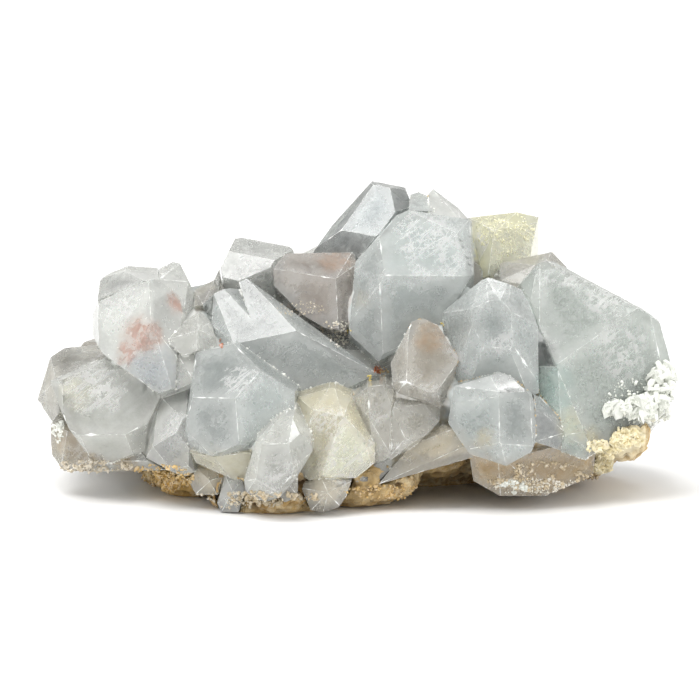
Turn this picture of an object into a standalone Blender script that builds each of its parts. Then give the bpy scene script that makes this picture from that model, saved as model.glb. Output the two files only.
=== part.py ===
"""A celestite cluster: blocky pale blue crystals grown together on a crust of brown rock.

Run it with blender --background --python part.py. It makes three objects in the collection
celestite_cluster: crystals, matrix and sugary_crust.

Every crystal is a convex block with flat faces. It is given by the corners that show from the
front, and by the way its body runs back into the cluster. Corners are in millimetres as seen from
the front and LEAN above the table: across, away from the viewer, and up from the lowest edge.
"""

import math
import random

import bmesh
import bpy
from mathutils import Matrix, Quaternion, Vector, noise

MM = 0.001

# How far the rock and the crust stay clear of the crystals.
GAP = 0.32

# The view that the corners are given in leans down by LEAN; FOOT_DROP brings the foot to height 0.
LEAN = math.radians(10)
FOOT_DROP = 5.3
STAND = Matrix.Translation((0, 0, -FOOT_DROP)) @ Matrix.Rotation(-LEAN, 4, "X")

# Hull triangles this close in direction belong to one flat face, unless that is a mere sliver.
SAME_FACE = math.radians(15)
SMALLEST_FACE = 0.6

# The block that each crystal is cut from, and the distances at which points count as one.
BLOCK_SIDE = 200.0
CUT_DISTANCE = 1e-5
MERGE = 1e-4

# Celestite's cell edges, and how far each form of face lies from the middle of an average crystal.
CELL = (8.36, 5.35, 6.87)
CRYSTAL_FORMS = {
    (0, 0, 1): 0.86,
    (2, 1, 0): 1.04,
    (0, 1, 1): 0.98,
    (1, 0, 2): 1.08,
}
FORM_SPREAD = (0.86, 1.12)

# How far crystals lean off the way outward, and where their middle lies behind their tip.
STRAY = 0.22
TIP_REACH = 0.55

# The massive middle that all crystals grow from: its place, half sizes, roundness and unevenness.
HEART = (0, 6, 16)
HEART_LUMP = ((0, 11, 23), (47, 22, 14), 2, 2.0)

# The knobs of a lump, and the finer knobs on them.
KNOB_SIZE = 7.0
FINE_KNOB_SIZE = KNOB_SIZE / 2.3
FINE_KNOB_SHARE = 0.5

# Corners and body direction of each crystal that shows from the front, from left to right.
LEFT_CRYSTALS = {
    "far_left": (
        (12, 12, -4),
        [(-62.4, 0, 23.2), (-59.6, 0, 31.6), (-56.8, 3, 33.6), (-50.6, 5, 34.2), (-48.6, -3, 32),
         (-58.6, -7, 27.2), (-57.8, -8, 20.8), (-59.2, -5, 18.8)],
    ),
    "broad_left": (
        (6, 22, -2),
        [(-59.6, -14, 26.8), (-57, -17.5, 27.4), (-51.2, -17.5, 29.2), (-44.4, -18.2, 29.2),
         (-37.6, -20.2, 24.6), (-39.6, -21.8, 18.8), (-45, -22.1, 16), (-54.4, -21, 16.8),
         (-56.8, -19.3, 21.2), (-48.4, -12, 31.8), (-52.8, -18.5, 14.2), (-51.2, -15, 11),
         (-47.4, -15.5, 10.8), (-41.4, -17, 12.8)],
    ),
    "lower_left": (
        (10, 16, 2),
        [(-59.4, -8, 18.4), (-56.6, -13, 17.4), (-54.4, -15, 16.2), (-51.2, -15.5, 11),
         (-51.8, -13, 9), (-56.8, -10, 9), (-57.8, -9, 10.8), (-59.4, -7, 12.2)],
    ),
    "left_rim": (
        (2, 14, 1),
        [(-51.2, -13, 11), (-51.8, -11, 9), (-44, -13, 8.8), (-40, -17, 11.2), (-41.4, -16, 12.8),
         (-36.8, -17, 9.4)],
    ),
    "stained": (
        (3, 22, -4),
        [(-49.8, -16, 42.8), (-39.6, -21.5, 46.6), (-39.2, -25, 38.2), (-44.8, -24, 29.8),
         (-49.8, -19, 34), (-37.8, -19.4, 47.2), (-33.8, -17, 44), (-33, -17.8, 40.6),
         (-34, -20.5, 36.8), (-34.2, -23, 32), (-34.4, -23.5, 25.6), (-37, -24, 24.8),
         (-51, -11, 40.6), (-51, -12, 36)],
    ),
    "stained_back": (
        (4, 12, -10),
        [(-50, -14, 43.2), (-49.6, -8, 46.8), (-47.6, -6, 48.6), (-45.4, -11, 48.2),
         (-44.8, -15.5, 45.2), (-44, -6, 50), (-38, -8, 49.4), (-38, -16, 47.2)],
    ),
    "white_back": (
        (2, 14, -8),
        [(-37.8, -8, 49.4), (-35.2, -4, 50.8), (-33.6, -5, 50.4), (-32, -9, 46.8), (-31, -8, 45),
         (-31, -10, 41.8), (-33, -14, 40.6), (-37.8, -14, 47.2)],
    ),
    "brown_back": (
        (0, 14, -6),
        [(-30.8, -6, 45.2), (-26.8, -4, 47.2), (-24.8, -6, 45.6), (-29, -12, 42.2),
         (-30.8, -11, 41.8), (-25.8, -3, 46.6)],
    ),
    "small_spike": (
        (0.6, 6, -6),
        [(-25.8, -4, 49.4), (-26.8, -8, 47.2), (-26, -9, 45.8), (-25.2, -5, 46)],
    ),
    "milky_small": (
        (0, 16, -2),
        [(-32.6, -18, 39), (-29.6, -15, 40.8), (-27.4, -17, 38.6), (-26.4, -19, 35.8),
         (-26.6, -20, 33.8), (-30.2, -24, 32.8), (-33, -24, 32.2), (-36, -23, 34.8),
         (-30, -23, 37.2)],
    ),
    "milky_lower": (
        (0, 14, 0),
        [(-34, -22, 32.2), (-30.6, -22, 32.8), (-30.8, -24, 27.4), (-31.4, -24, 26.4),
         (-34.4, -23, 25.2)],
    ),
}

FRONT_CRYSTALS = {
    "front_block": (
        (2, 20, 2),
        [(-22.4, -36, 23.6), (-30.8, -32.2, 23.8), (-32, -30.7, 17), (-27, -32.2, 12.2),
         (-21.6, -35, 14.6), (-31.8, -31.3, 20.2), (-24.8, -33.4, 13.8), (-30.4, -24.5, 32.6),
         (-22.8, -26.1, 34.4), (-21.4, -27.4, 33.6), (-18.2, -33.7, 28.2), (-12.2, -29.8, 25),
         (-10.6, -28.8, 25), (-10.8, -28.6, 20.4), (-14.4, -30.8, 19.2), (-18, -32.8, 15.4),
         (-17, -25, 30.8), (-12.6, -24, 27.2), (-32.6, -28, 16.2), (-31.4, -28, 13.4),
         (-18.6, -30, 13.4)],
    ),
    "yellow_underside": (
        (0, 15, 4),
        [(-31.4, -29, 13.2), (-27, -31, 12), (-19.4, -31.5, 13), (-19.4, -30, 10.2),
         (-20.6, -28, 7.2), (-22.4, -28.5, 7.4), (-24.8, -29, 8.8), (-28, -28, 9.6),
         (-30.4, -28, 11.2)],
    ),
    "front_small": (
        (1, 12, 4),
        [(-17.2, -40, 14.6), (-11.4, -40.5, 14.8), (-11.2, -40, 8.8), (-13.8, -38.5, 5.2),
         (-18.2, -38.5, 7.4), (-9.8, -37, 16.8), (-11, -34, 19.6), (-12.4, -33, 20.2),
         (-14.6, -33.5, 19.2), (-18, -37.5, 15.4), (-7.6, -34, 15.6), (-7.2, -34, 13.4),
         (-10, -37, 8.2), (-19, -36.5, 13), (-20.6, -34, 7.2), (-20.4, -33, 5.4),
         (-18.4, -33, 3.6), (-16, -33, 3.2), (-13.8, -35, 4)],
    ),
    "glassy_left": (
        (2, 15, 0),
        [(-38.8, -26, 14), (-34, -28.5, 16.8), (-34.8, -24, 20.8), (-37, -22.5, 19.8),
         (-37.6, -17, 24.6), (-31.8, -17, 26.6), (-40.2, -23, 11.8), (-35.4, -25, 9.2),
         (-31.8, -27, 10.4), (-31.4, -28, 13.8), (-32.8, -23, 8), (-30.6, -25, 9),
         (-32.6, -27, 19.8)],
    ),
    "notched": (
        (4, 14, -10),
        [(-26.8, -14.8, 44.4), (-25.4, -14.7, 45), (-20.2, -14.2, 47.4), (-10.4, -22, 37),
         (-22.8, -21.3, 34.4), (-3.2, -21.5, 33), (2.4, -21, 30), (5.6, -20.9, 28.6),
         (3.8, -20.5, 27.2), (-6.4, -19.6, 23), (-10.6, -19.9, 25.2), (-17, -20.7, 30.8),
         (-29, -12, 42.2), (-28.6, -13, 40.6), (-27.2, -17, 38.2), (-25.2, -19, 34.2)],
    ),
    "upper_left": (
        (2, 8, -12),
        [(-24.2, -4.5, 52.4), (-14.6, -6.8, 51.4), (-15.6, -7.6, 49.6), (-21.8, -8, 47),
         (-25, -7, 47.6), (-25.6, -5.8, 49.6), (-22.8, 0.9, 55.4), (-21.4, 1.3, 55.8),
         (-11.8, -1, 53.6), (-11, -2, 52.8)],
    ),
    "rosy": (
        (1, 16, -2),
        [(-14.4, -15, 49.6), (-12.6, -12.2, 52.4), (0.8, -11.7, 52.6), (1.2, -11.6, 52),
         (-2.6, -17, 47.4), (-15, -15.2, 49.2), (-2, -16.6, 37.4), (-4.4, -16.2, 37.4),
         (-9.2, -15.6, 40.2), (-14.8, -15.1, 46), (1.6, -12.2, 50.2), (1.2, -12.5, 45.2),
         (0.6, -13.4, 41), (-0.8, -15.2, 36.8)],
    ),
    "tall": (
        (2, 14, -14),
        [(5.4, -4, 66.2), (8.4, -4.9, 65.6), (9.2, -8.3, 60), (5.4, -10, 55.8),
         (-1.6, -7.9, 57.2), (2, -8.5, 51.4), (-7, -5.8, 52.8), (4.4, -2.5, 66.6),
         (-3.2, -4, 58.2), (-7.2, -3, 52.6), (11.4, -1, 65.4), (12.6, -3, 62.4),
         (4.8, -1.5, 67), (11.4, -0.5, 65.6)],
    ),
    "large_centre": (
        (0, 22, -6),
        [(12, -15, 61), (9.4, -15.6, 59.8), (7, -17.1, 56.8), (6.6, -21.2, 47.8),
         (24.6, -20.1, 48.2), (24, -19.8, 49.2), (21.6, -16.6, 56.4), (19, -19, 41),
         (18.4, -18.9, 38.4), (9.6, -18, 33.2), (7.2, -18, 33.2), (24.2, -11, 59.2),
         (25.2, -13, 53.2), (24.8, -17, 48.6), (1.4, -15, 50.8), (0.4, -16.5, 40.6),
         (0.2, -17, 36.4), (6, -17.5, 30.8)],
    ),
    "small_peak": (
        (0, 14, -8),
        [(12.4, -2, 64.2), (14, 0, 65), (16.4, -1, 63.6), (18, -6, 60.8), (12, -8, 61)],
    ),
    "broad_peak": (
        (0, 14, -8),
        [(16, -1, 64.4), (17, 1, 65.4), (18, 0, 64.4), (22, -2, 61.6), (22.2, -8, 59.2),
         (16, -7, 60.2), (24.2, -2, 59.2)],
    ),
}

RIGHT_CRYSTALS = {
    "yellow_back": (
        (0, 12, -10),
        [(24.2, 4, 59.4), (28.8, 5, 60.4), (34.2, 6, 60.8), (38.2, 8, 59.6), (36.6, 6, 52.2),
         (35.2, 4, 51.8), (30.4, 1, 50.4), (30.2, 0, 47), (27.2, -2, 47.6), (26, -1, 50.8),
         (29.4, -1, 57)],
    ),
    "smoky_back": (
        (0, 16, -6),
        [(30.4, -3, 50.4), (35.2, -2, 51.8), (41, 0, 52.6), (43.8, 3, 49.8), (39.4, -6, 51),
         (37.4, -8, 50.2), (34.2, -9, 46.4), (34.2, -9, 45.2), (30.4, -8, 47)],
    ),
    "smoky_front": (
        (0, 16, 0),
        [(12.6, -25.4, 38.8), (14.8, -24.9, 39.4), (17.8, -25.1, 38), (21.8, -27, 31.6),
         (17.8, -29.7, 25), (15.4, -30, 24.8), (11.2, -29.6, 27.2), (8.4, -24.5, 30.6),
         (10.8, -28, 27.2), (8.8, -26, 26), (18.2, -26, 21.6), (15.2, -28, 23.2),
         (9.8, -27, 24.6), (20.2, -26, 24.8)],
    ),
    "windowed": (
        (0, 20, -2),
        [(24.4, -31, 41.2), (27.6, -31, 42.8), (30, -31, 43), (31.8, -31, 41.4),
         (32.6, -31, 34.6), (32.2, -31, 33.6), (30, -31, 33.4), (26.4, -31, 34.4),
         (24.6, -31, 38), (26.4, -26, 47), (27.4, -26, 47.4), (31.6, -26, 46.4),
         (34.4, -23, 44.8), (36.4, -24.5, 41), (37.6, -25, 37.4), (37.6, -25.5, 29.4),
         (35.6, -28, 31.8), (22.8, -25, 43.6), (18.8, -22, 40.8), (18.6, -22.5, 38),
         (22, -27, 31.8), (37.8, -25, 24.6), (35.8, -26, 24.2), (30.4, -28.5, 28.6),
         (24.8, -27, 27.4), (21.6, -25, 26.4)],
    ),
    "lower_twin": (
        (0, 18, 2),
        [(20.8, -30, 25.6), (24.2, -30.4, 27.2), (28.2, -31, 28), (29, -29.5, 28.4),
         (30.4, -29.5, 28.6), (31.8, -29.5, 28), (35.4, -32, 24.8), (29.4, -34, 25.2),
         (36.4, -31, 23.8), (37.2, -30, 21.8), (37, -30.5, 15), (36.2, -30.5, 13),
         (31.2, -31, 10.2), (24, -31, 12.6), (19.8, -30.5, 18.6), (20.4, -30.5, 23),
         (29, -34, 19), (30, -34.5, 15.2)],
    ),
    "dark_wedge": (
        (-1, 14, 2),
        [(36.6, -28, 24.2), (38.2, -27, 23.6), (43.6, -25, 17.8), (43, -26, 16.8),
         (42.2, -25, 13.2), (37, -30, 15), (37.2, -30.5, 21.8)],
    ),
    "turquoise": (
        (0, 14, 0),
        [(38, -22, 30), (41.2, -24.5, 29.8), (46.8, -26.5, 16.8), (43, -26.5, 16.4),
         (37.6, -23, 24.4), (48.2, -26, 13.2), (47.2, -25, 11.4), (42.2, -25, 13)],
    ),
    "large_right": (
        (-4, 24, -4),
        [(37.8, -15.3, 50.4), (39.4, -15, 50.8), (58.6, -18, 41), (50.8, -20.1, 38.2),
         (46, -22, 35.4), (41.4, -22.3, 35.8), (38.2, -22, 37), (34.4, -13, 46.4),
         (34.6, -14, 45.2), (36.2, -18, 43), (40.6, -13.5, 50.8), (59.4, -15, 41),
         (62, -15, 38.6), (62, -15, 36.6), (62.8, -14.5, 32.2), (65.2, -13, 27.2),
         (63, -14, 21.8), (58.2, -17, 18.6), (50, -20.5, 15.2), (48, -21.4, 12.2),
         (41.2, -24, 29.8)],
    ),
}

LOWER_CRYSTALS = {
    "grey_wedge": (
        (0, 14, 2),
        [(0.8, -25, 23.4), (3.8, -29, 25.8), (7.4, -27, 26.4), (8.8, -26, 25.6), (10, -24, 24.4),
         (8.4, -27.5, 21.6), (8.2, -28, 11.8), (5.4, -27, 10.6), (5.2, -27, 14.4),
         (2.8, -26, 18.2), (4.2, -29.5, 19.6)],
    ),
    "grey_pyramid": (
        (0, 14, 2),
        [(10, -24, 24.4), (15.2, -26, 22.6), (18.2, -25, 21.4), (18, -26, 19.4),
         (16.4, -27, 17), (13, -28, 15), (10.6, -28, 15.2), (8.8, -27.5, 21.6),
         (8, -27, 11.2), (8.6, -27.5, 16), (12.4, -26, 13.6)],
    ),
    "beige_front": (
        (0, 16, 4),
        [(-10, -24, 23.8), (-7, -27, 22.8), (-3.8, -25, 25.6), (-2.6, -25, 25.6),
         (0.6, -26, 23.8), (5.2, -29, 14.2), (5.2, -29, 10.8), (1.4, -30, 7.8),
         (-5.4, -32, 8.2), (-7.8, -31, 7.4), (-10, -30, 8.8), (-7, -30, 21.2),
         (-1.2, -32, 20.2), (2.4, -31, 16.6)],
    ),
    "rim_taupe": (
        (2, 12, 2),
        [(-30, -24, 9.8), (-28, -25, 9.4), (-24.8, -26, 8.2), (-26, -25, 4.4),
         (-30.2, -23, 4.4), (-31.6, -22, 6.8), (-27.6, -27, 7.2)],
    ),
    "rim_honey": (
        (0, 12, 2),
        [(-24.4, -27, 8.2), (-21, -29, 7.2), (-20.4, -29, 5.2), (-21.8, -27, 1), (-25.2, -26, 1),
         (-26, -26, 2.8), (-23, -30, 5.2)],
    ),
    "rim_chip": (
        (0, 8, 2),
        [(-13.6, -33, 4.2), (-11.8, -34, 6.6), (-10, -33, 8.2), (-10, -32, 4.2),
         (-12.6, -32, 3)],
    ),
    "rim_brown": (
        (0, 12, 2),
        [(-9.2, -31, 5.8), (-8.6, -30, 7.2), (-5.4, -31, 7.8), (0.6, -30, 7.4), (-0.4, -30, 4.2),
         (-2, -30, 2), (-5, -30, 1), (-7.4, -30, 1.4), (-8.4, -31, 3.6), (-4, -34, 5)],
    ),
    "rim_dark": (
        (0, 12, 2),
        [(5.4, -26, 10.4), (8.6, -25, 11.8), (8.6, -25, 9.8), (6, -26, 7.2), (1.4, -27, 7)],
    ),
    "rim_rose": (
        (0, 14, 3),
        [(12.4, -26, 14.2), (16.6, -26, 16.2), (18.6, -25, 18.4), (20.6, -27, 17.4),
         (23.8, -28, 14.4), (26, -27, 12.2), (19.2, -28, 12.4), (16, -27, 11.6),
         (12.4, -26, 10), (6, -26, 6.6)],
    ),
    "rim_right": (
        (0, 16, 1),
        [(30, -28, 11.5), (42, -24, 14), (49, -20, 12.5), (48.6, -20, 8.2), (42.6, -22, 6.4),
         (40.4, -22, 4.8), (39, -23, 4.2), (30, -24, 4.2), (24.8, -24, 7.2), (24, -27, 12.5)],
    ),
}


# The V-shaped hollow in the top of the notched crystal, as the corners of the wedge that it left.
NOTCH = [(-19.2, -19.7, 38.9), (-28.6, -13.2, 48.2), (-23.2, -12.6, 50.8), (-23.8, -5.5, 51)]

# Tips and sizes of the crystals on the top, the ends and the back, as they stand.
BEHIND = [
    (-46, 18, 26, 19), (-31, 20, 33, 21), (-13, 20, 38, 22), (4, 19, 47, 24), (20, 21, 46, 23),
    (35, 19, 39, 22), (50, 14, 30, 20), (-53, 25, 18, 17), (-38, 34, 22, 20), (-20, 38, 27, 22),
    (-2, 40, 31, 24), (17, 38, 32, 22), (34, 35, 26, 21), (50, 27, 19, 18), (-58, 12, 13, 15),
    (-47, 34, 10, 14), (-30, 42, 12, 16), (-12, 45, 13, 17), (8, 46, 14, 18), (26, 43, 12, 16),
    (43, 37, 10, 15), (58, 17, 14, 15), (-56, 23, 7, 9), (-38, 41, 6, 9), (-21, 46, 6, 10),
    (-2, 48, 6, 9), (18, 47, 6, 10), (35, 42, 6, 9), (52, 30, 6, 10), (62, 8, 14, 11),
]

# The rock: centre, half sizes, mesh detail and unevenness of each lump.
ROCK_LUMPS = [
    ((2, 20, 8), (46, 24, 12), 3, 1.8),
    ((-14, -17, 5), (15, 13, 8), 3, 1.6),
    ((3, -14, 6.5), (12, 12, 7), 3, 1.4),
    ((14, -3, 9), (13, 13, 6), 3, 1.4),
    ((-31, 4, 7), (12, 20, 9), 3, 1.4),
    ((36, 4, 7), (14, 15, 8), 3, 1.6),
    ((46, 6, 8), (10, 14, 7), 2, 1.4),
    ((54, -6, 12.5), (7, 12, 6), 2, 1.2),
]
FOOT_CUT = 0.0

# The sugary crust on the right edge, given in the view of the corners.
CRUST_LUMPS = [
    ((61.6, -12.5, 24.4), (4.7, 5.5, 5.6), 2, 1.0),
    ((58, -15.5, 22), (4, 4.5, 3.4), 2, 1.0),
    ((54, -17.5, 21.4), (4.6, 4, 2.4), 2, 0.8),
]

# Name, colour, roughness and see-through share of each material.
MATERIALS = {
    "crystals": ("celestite", (0.62, 0.70, 0.76, 1), 0.12, 0.6),
    "matrix": ("brown_rock", (0.24, 0.15, 0.07, 1), 0.9, 0.0),
    "sugary_crust": ("white_crust", (0.80, 0.82, 0.76, 1), 0.6, 0.1),
}


def corners_of(back, corners):
    """The visible corners, and the same corners carried back into the cluster."""
    front = [Vector(corner) for corner in corners]
    return front + [corner + Vector(back) for corner in front]


def hull_of(points):
    mesh = bmesh.new()
    for point in points:
        mesh.verts.new(point)
    bmesh.ops.convex_hull(mesh, input=mesh.verts)
    loose = [vert for vert in mesh.verts if not vert.link_faces]
    bmesh.ops.delete(mesh, geom=loose, context="VERTS")
    bmesh.ops.recalc_face_normals(mesh, faces=mesh.faces)
    return mesh


def facets_of(hull):
    """The flat faces that a hull stands for: a point and a normal for each run of nearly level triangles."""
    left = set(hull.faces)
    facets = []
    while left:
        seed = max(left, key=lambda face: face.calc_area())
        left.remove(seed)
        group, front = [seed], [seed]
        total = seed.normal * seed.calc_area()
        while front:
            face = front.pop()
            for edge in face.edges:
                for other in edge.link_faces:
                    if other in left and other.normal.angle(total) < SAME_FACE:
                        left.remove(other)
                        group.append(other)
                        front.append(other)
                        total += other.normal * other.calc_area()
        area = sum(face.calc_area() for face in group)
        if area > SMALLEST_FACE:
            middle = sum((face.calc_center_median() * face.calc_area() for face in group), Vector())
            facets.append((middle / area, total.normalized()))
    return facets


def cut_block(facets, grow):
    """A block cut down by each facet, moved out by grow."""
    mesh = bmesh.new()
    middle = sum((point for point, _ in facets), Vector()) / len(facets)
    bmesh.ops.create_cube(mesh, size=BLOCK_SIDE, matrix=Matrix.Translation(middle))
    for point, normal in facets:
        everything = mesh.verts[:] + mesh.edges[:] + mesh.faces[:]
        cut = bmesh.ops.bisect_plane(
            mesh,
            geom=everything,
            dist=CUT_DISTANCE,
            plane_co=point + normal * grow,
            plane_no=normal,
            clear_outer=True,
        )
        rim = [item for item in cut["geom_cut"] if isinstance(item, bmesh.types.BMEdge)]
        bmesh.ops.contextual_create(mesh, geom=rim)
    bmesh.ops.recalc_face_normals(mesh, faces=mesh.faces)
    return mesh


def crystal(back, corners, grow=0.0):
    """One crystal as a block with a flat face for each side of its corners' hull."""
    hull = hull_of(corners_of(back, corners))
    block = cut_block(facets_of(hull), grow)
    hull.free()
    return block


def celestite_normal(h, k, l):
    """The direction of a crystal face, from its Miller indices and the lengths of celestite's cell."""
    return Vector((h / CELL[0], k / CELL[1], l / CELL[2])).normalized()


def grown_crystal(tip, size, grow=0.0):
    """A whole celestite crystal that grows out of the cluster's middle, ending at tip."""
    dice = random.Random(f"{tip} {size}")
    outward = (Vector(tip) - Vector(HEART)).normalized()
    sideways = Vector([dice.uniform(-1, 1) for _ in range(3)]) * STRAY
    outward = (outward + sideways).normalized()
    turn = outward.to_track_quat("X", "Z") @ Quaternion((1, 0, 0), dice.uniform(0, math.tau))
    middle = Vector(tip) - outward * size * TIP_REACH
    facets = []
    for (h, k, l), reach in CRYSTAL_FORMS.items():
        for signs in {(a, b, c) for a in (h, -h) for b in (k, -k) for c in (l, -l)}:
            normal = turn @ celestite_normal(*signs)
            distance = size / 2 * reach * dice.uniform(*FORM_SPREAD)
            facets.append((middle + normal * distance, normal))
    facets.sort(key=lambda facet: facet[1][:])
    return cut_block(facets, grow)


def lump(centre, radii, detail, roughness, grow=0.0):
    """A knobbly ellipsoid."""
    mesh = bmesh.new()
    bmesh.ops.create_icosphere(mesh, subdivisions=detail, radius=1.0)
    for vert in mesh.verts:
        way = vert.co.copy()
        point = Vector(centre) + Vector([way[i] * radii[i] for i in range(3)])
        knob = noise.noise(point / KNOB_SIZE)
        knob += FINE_KNOB_SHARE * noise.noise(point / FINE_KNOB_SIZE)
        vert.co = point + way * (roughness * knob + grow)
    return mesh


def add_object(name, mesh, collection):
    data = bpy.data.meshes.new(name)
    mesh.to_mesh(data)
    mesh.free()
    obj = bpy.data.objects.new(name, data)
    collection.objects.link(obj)
    return obj


def combine(target, tools, operation):
    """Joins each tool to the target, or cuts each from it, and uses the tools up."""
    for tool in tools:
        modifier = target.modifiers.new(operation.lower(), "BOOLEAN")
        modifier.operation = operation
        modifier.object = tool
        graph = bpy.context.evaluated_depsgraph_get()
        result = bpy.data.meshes.new_from_object(target.evaluated_get(graph))
        target.modifiers.remove(modifier)
        target.data = result
        bpy.data.objects.remove(tool)


def skins_of(mesh):
    """The closed surfaces that a mesh is made of."""
    left = set(mesh.faces)
    skins = []
    while left:
        skin, front = [], [left.pop()]
        while front:
            face = front.pop()
            skin.append(face)
            for edge in face.edges:
                for other in edge.link_faces:
                    if other in left:
                        left.remove(other)
                        front.append(other)
        skins.append(skin)
    return skins


def keep_outer_skin(obj):
    """Drops closed pockets and loose chips, and leaves the largest surface."""
    mesh = bmesh.new()
    mesh.from_mesh(obj.data)
    bmesh.ops.remove_doubles(mesh, verts=mesh.verts, dist=MERGE)
    skins = skins_of(mesh)
    outer = max(skins, key=lambda skin: sum(face.calc_area() for face in skin))
    inner = [face for skin in skins if skin is not outer for face in skin]
    bmesh.ops.delete(mesh, geom=inner, context="FACES")
    mesh.to_mesh(obj.data)
    mesh.free()


def crystal_blocks(collection, grow=0.0):
    """The heart and every crystal, each as its own block, grown by that much all round."""
    blocks = [add_object("heart", lump(*HEART_LUMP, grow), collection)]
    for group in (LEFT_CRYSTALS, FRONT_CRYSTALS, RIGHT_CRYSTALS, LOWER_CRYSTALS):
        for name, (back, corners) in group.items():
            mesh = crystal(back, corners, grow)
            mesh.transform(STAND)
            blocks.append(add_object(name, mesh, collection))
    for x, y, z, size in BEHIND:
        blocks.append(add_object("behind", grown_crystal((x, y, z), size, grow), collection))
    return blocks


def make_crystals(collection, tools):
    heart, *blocks = crystal_blocks(tools)
    combine(heart, blocks, "UNION")
    wedge = hull_of([Vector(corner) for corner in NOTCH])
    wedge.transform(STAND)
    combine(heart, [add_object("notch", wedge, tools)], "DIFFERENCE")
    keep_outer_skin(heart)
    return settle(heart, "crystals", collection)


def lumps_in(lumps, place, tools):
    """Several lumps joined, in that place."""
    made = []
    for centre, radii, detail, roughness in lumps:
        mesh = lump(centre, radii, detail, roughness)
        mesh.transform(place)
        made.append(add_object("lump", mesh, tools))
    first, *rest = made
    combine(first, rest, "UNION")
    return first


def cut_flat(obj, height):
    """Cuts off what lies below a height, which leaves a flat foot."""
    mesh = bmesh.new()
    mesh.from_mesh(obj.data)
    everything = mesh.verts[:] + mesh.edges[:] + mesh.faces[:]
    cut = bmesh.ops.bisect_plane(
        mesh,
        geom=everything,
        dist=CUT_DISTANCE,
        plane_co=(0, 0, height),
        plane_no=(0, 0, -1),
        clear_outer=True,
    )
    rim = [item for item in cut["geom_cut"] if isinstance(item, bmesh.types.BMEdge)]
    bmesh.ops.contextual_create(mesh, geom=rim)
    bmesh.ops.recalc_face_normals(mesh, faces=mesh.faces)
    mesh.to_mesh(obj.data)
    mesh.free()


def make_matrix(collection, tools):
    rock = lumps_in(ROCK_LUMPS, Matrix(), tools)
    cut_flat(rock, FOOT_CUT)
    combine(rock, crystal_blocks(tools, GAP), "DIFFERENCE")
    keep_outer_skin(rock)
    return settle(rock, "matrix", collection)


def make_crust(collection, tools):
    crust = lumps_in(CRUST_LUMPS, STAND, tools)
    combine(crust, crystal_blocks(tools, GAP), "DIFFERENCE")
    keep_outer_skin(crust)
    return settle(crust, "sugary_crust", collection)


def settle(obj, name, collection):
    """Names a finished piece, puts it in the collection and gives it its material."""
    obj.name = obj.data.name = name
    for old in list(obj.users_collection):
        old.objects.unlink(obj)
    collection.objects.link(obj)
    title, colour, roughness, clear = MATERIALS[name]
    material = bpy.data.materials.new(title)
    material.use_nodes = True
    shader = material.node_tree.nodes["Principled BSDF"]
    shader.inputs["Base Color"].default_value = colour
    shader.inputs["Roughness"].default_value = roughness
    shader.inputs["Transmission Weight"].default_value = clear
    obj.data.materials.clear()
    obj.data.materials.append(material)
    return obj


def stand_on_origin(pieces):
    """Turns millimetres to metres, with the origin under the middle of the whole."""
    points = [vert.co for piece in pieces for vert in piece.data.vertices]
    low = Vector([min(point[i] for point in points) for i in range(3)])
    high = Vector([max(point[i] for point in points) for i in range(3)])
    foot = Vector(((low.x + high.x) / 2, (low.y + high.y) / 2, low.z))
    for piece in pieces:
        piece.data.transform(Matrix.Scale(MM, 4) @ Matrix.Translation(-foot))


def main():
    for obj in list(bpy.data.objects):
        bpy.data.objects.remove(obj)
    cluster = bpy.data.collections.new("celestite_cluster")
    tools = bpy.data.collections.new("cutters")
    bpy.context.scene.collection.children.link(cluster)
    bpy.context.scene.collection.children.link(tools)
    makers = (make_crystals, make_matrix, make_crust)
    stand_on_origin([make(cluster, tools) for make in makers])


main()
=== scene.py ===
import math
import random

import bmesh
import bpy
from mathutils import Matrix, Vector, noise
from mathutils.bvhtree import BVHTree
from mathutils.kdtree import KDTree


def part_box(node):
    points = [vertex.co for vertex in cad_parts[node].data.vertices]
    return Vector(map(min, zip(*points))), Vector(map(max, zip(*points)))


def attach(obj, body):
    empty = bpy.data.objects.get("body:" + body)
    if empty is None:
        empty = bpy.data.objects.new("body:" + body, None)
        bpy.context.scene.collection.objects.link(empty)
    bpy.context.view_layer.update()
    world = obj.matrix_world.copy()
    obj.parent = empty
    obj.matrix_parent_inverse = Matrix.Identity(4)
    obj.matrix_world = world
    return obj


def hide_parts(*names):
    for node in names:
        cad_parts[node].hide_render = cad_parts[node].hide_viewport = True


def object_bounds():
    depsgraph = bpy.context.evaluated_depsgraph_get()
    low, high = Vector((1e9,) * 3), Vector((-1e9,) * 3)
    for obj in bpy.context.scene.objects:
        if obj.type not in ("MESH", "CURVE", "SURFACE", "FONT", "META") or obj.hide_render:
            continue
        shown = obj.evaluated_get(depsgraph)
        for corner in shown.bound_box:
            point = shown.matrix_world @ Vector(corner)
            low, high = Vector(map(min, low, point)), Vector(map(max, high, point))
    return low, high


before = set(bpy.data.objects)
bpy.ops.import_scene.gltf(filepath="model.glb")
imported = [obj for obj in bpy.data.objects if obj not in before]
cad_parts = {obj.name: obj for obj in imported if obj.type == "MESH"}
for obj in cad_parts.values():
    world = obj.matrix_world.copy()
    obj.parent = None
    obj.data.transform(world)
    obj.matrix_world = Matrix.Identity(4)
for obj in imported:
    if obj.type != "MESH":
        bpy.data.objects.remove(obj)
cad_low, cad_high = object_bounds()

# The photograph: its width in pixels, how many pixels one metre takes, and how far the view leans down.
PHOTO_SIDE = 700
PIXELS_PER_METRE = 5000
LEAN = math.radians(10)
DISTANCE = 2.5
SENSOR = 36
# What the middle of the photograph looks at, in the row frame.
AIM = Vector((-0.00145, -0.0048, 0.0282))

MM = 0.001
# Points closer than this are one point, and faces that bend less than this are one flat face.
WELD = 0.002 * MM
FLAT = math.radians(0.5)

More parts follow.
